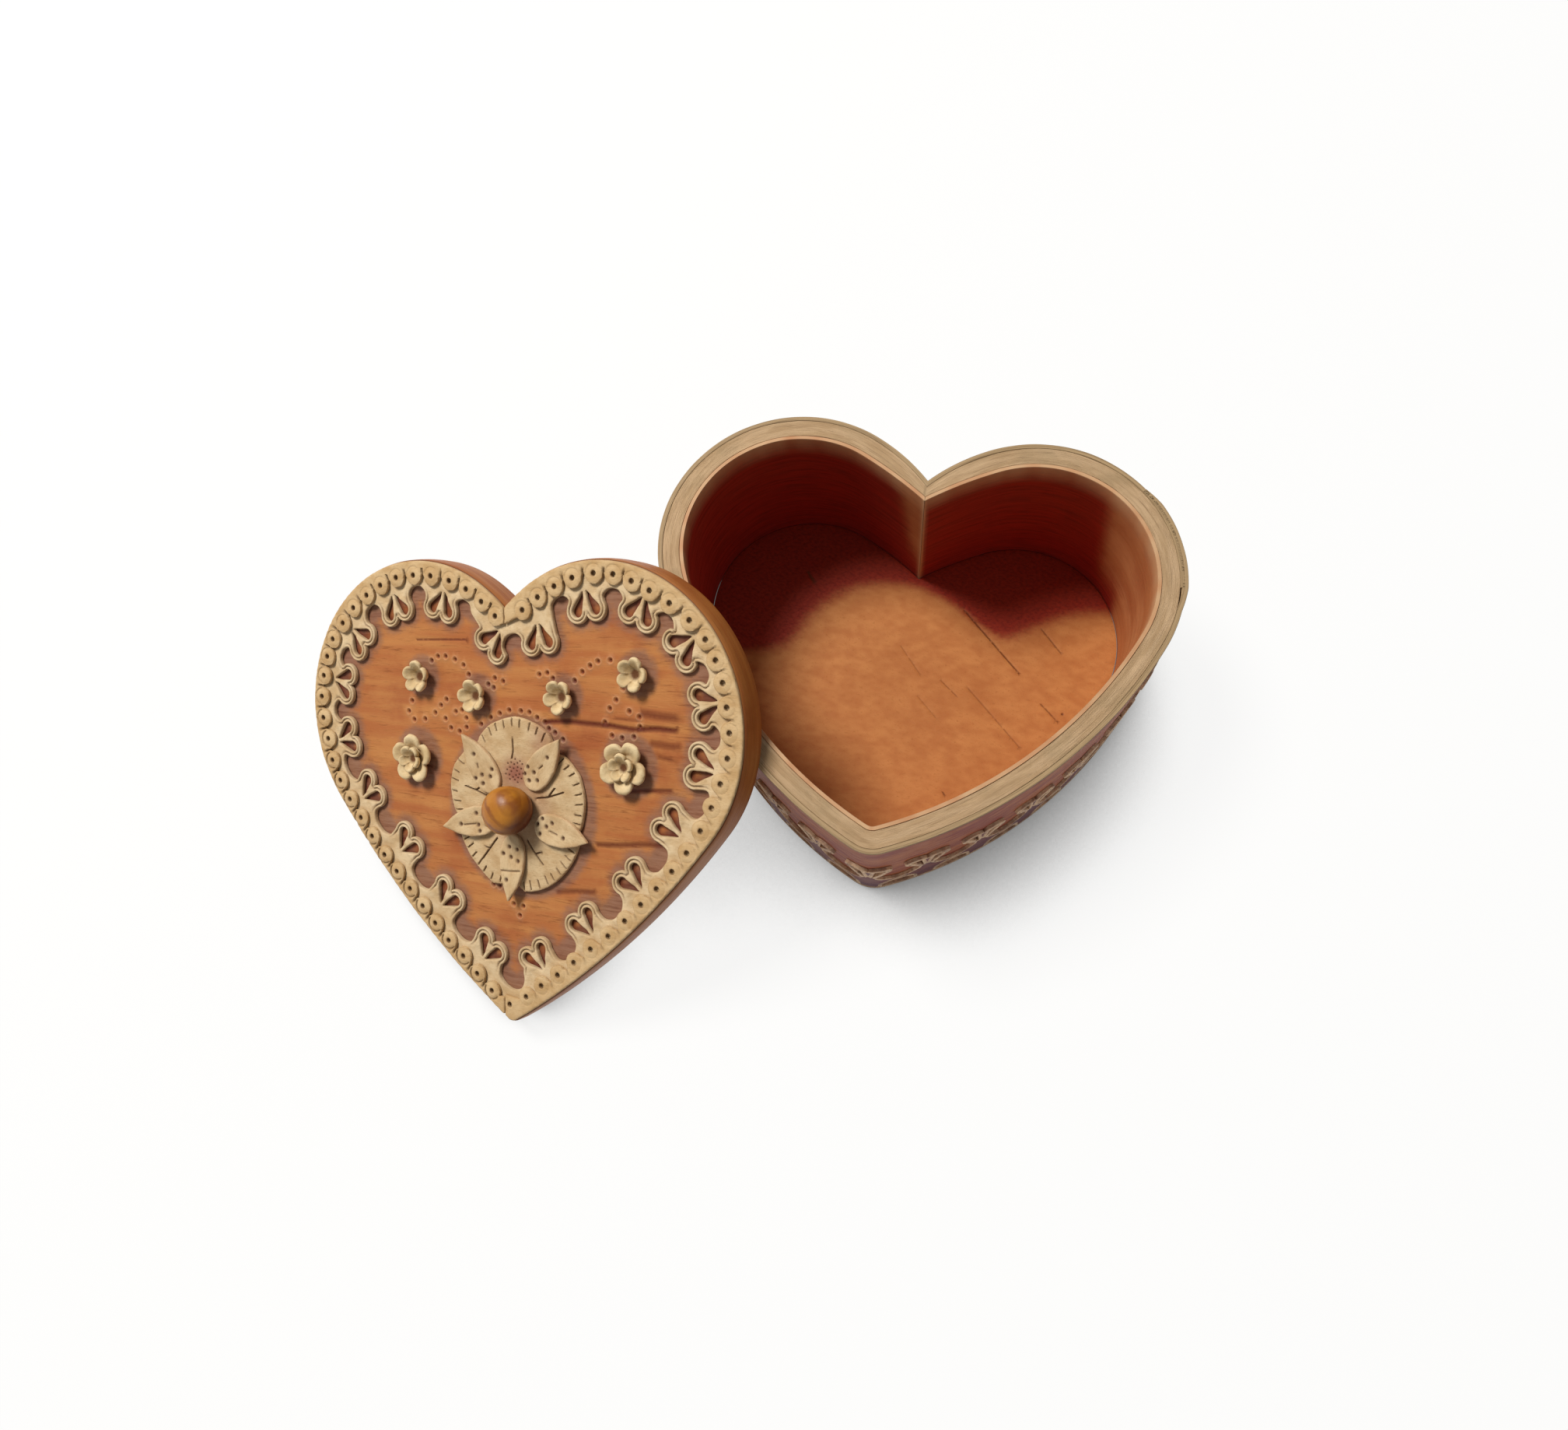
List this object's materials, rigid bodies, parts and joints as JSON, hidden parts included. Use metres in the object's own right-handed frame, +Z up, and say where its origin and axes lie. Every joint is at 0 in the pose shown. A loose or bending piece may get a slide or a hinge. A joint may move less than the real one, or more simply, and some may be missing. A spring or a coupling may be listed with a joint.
{
  "type": "birch bark box",
  "caption": "Heart-shaped birch bark box with laminated walls, a carved lace band and a loose cap lid with pierced lace, scalloped border, bark flowers and a bead knob.",
  "frame": {"origin": "on the table under the box, at the middle of the line through the centres of the heart's two lobes", "axes": "+Z up, -Y towards the heart's tip, +X to the right of the heart seen from above with its tip towards the viewer"},
  "size_m": [0.2312, 0.1641, 0.0706],
  "materials": {
    "birch_bark_amber": "smooth orange-brown inner face of birch bark, waxed",
    "birch_bark_edge": "bare cut edge of laminated birch bark, fine parallel layers",
    "birch_bark_pale": "pale carved birch bark, matt",
    "varnished_wood": "varnished amber turned wood, glossy"
  },
  "bodies": {
    "box": {"wall_core": "birch_bark_edge", "outer_wrap": "birch_bark_amber", "inner_liner": "birch_bark_amber", "bottom_board": "birch_bark_edge", "floor_liner": "birch_bark_amber", "carved_band": "birch_bark_pale"},
    "lid": {"lid_band": "birch_bark_amber", "lid_board": "birch_bark_edge", "lid_top_sheet": "birch_bark_amber", "lace_frame": "birch_bark_pale", "scallop_border_right": "birch_bark_pale", "scallop_border_left": "birch_bark_pale", "rosette_base": "birch_bark_pale", "petal_1": "birch_bark_pale", "petal_2": "birch_bark_pale", "petal_3": "birch_bark_pale", "petal_4": "birch_bark_pale", "petal_5": "birch_bark_pale", "bead_knob": "varnished_wood", "knob_peg": "varnished_wood", "small_flower_1": "birch_bark_pale", "small_flower_2": "birch_bark_pale", "small_flower_3": "birch_bark_pale", "small_flower_4": "birch_bark_pale", "double_flower_left_outer": "birch_bark_pale", "double_flower_left_inner": "birch_bark_pale", "double_flower_right_outer": "birch_bark_pale", "double_flower_right_inner": "birch_bark_pale"}
  },
  "joints": [
    {"name": "lid_lift", "type": "slide", "parent": "box", "child": "lid", "axis": [0, 0, 1], "range_m": [0, 0.065]}
  ]
}
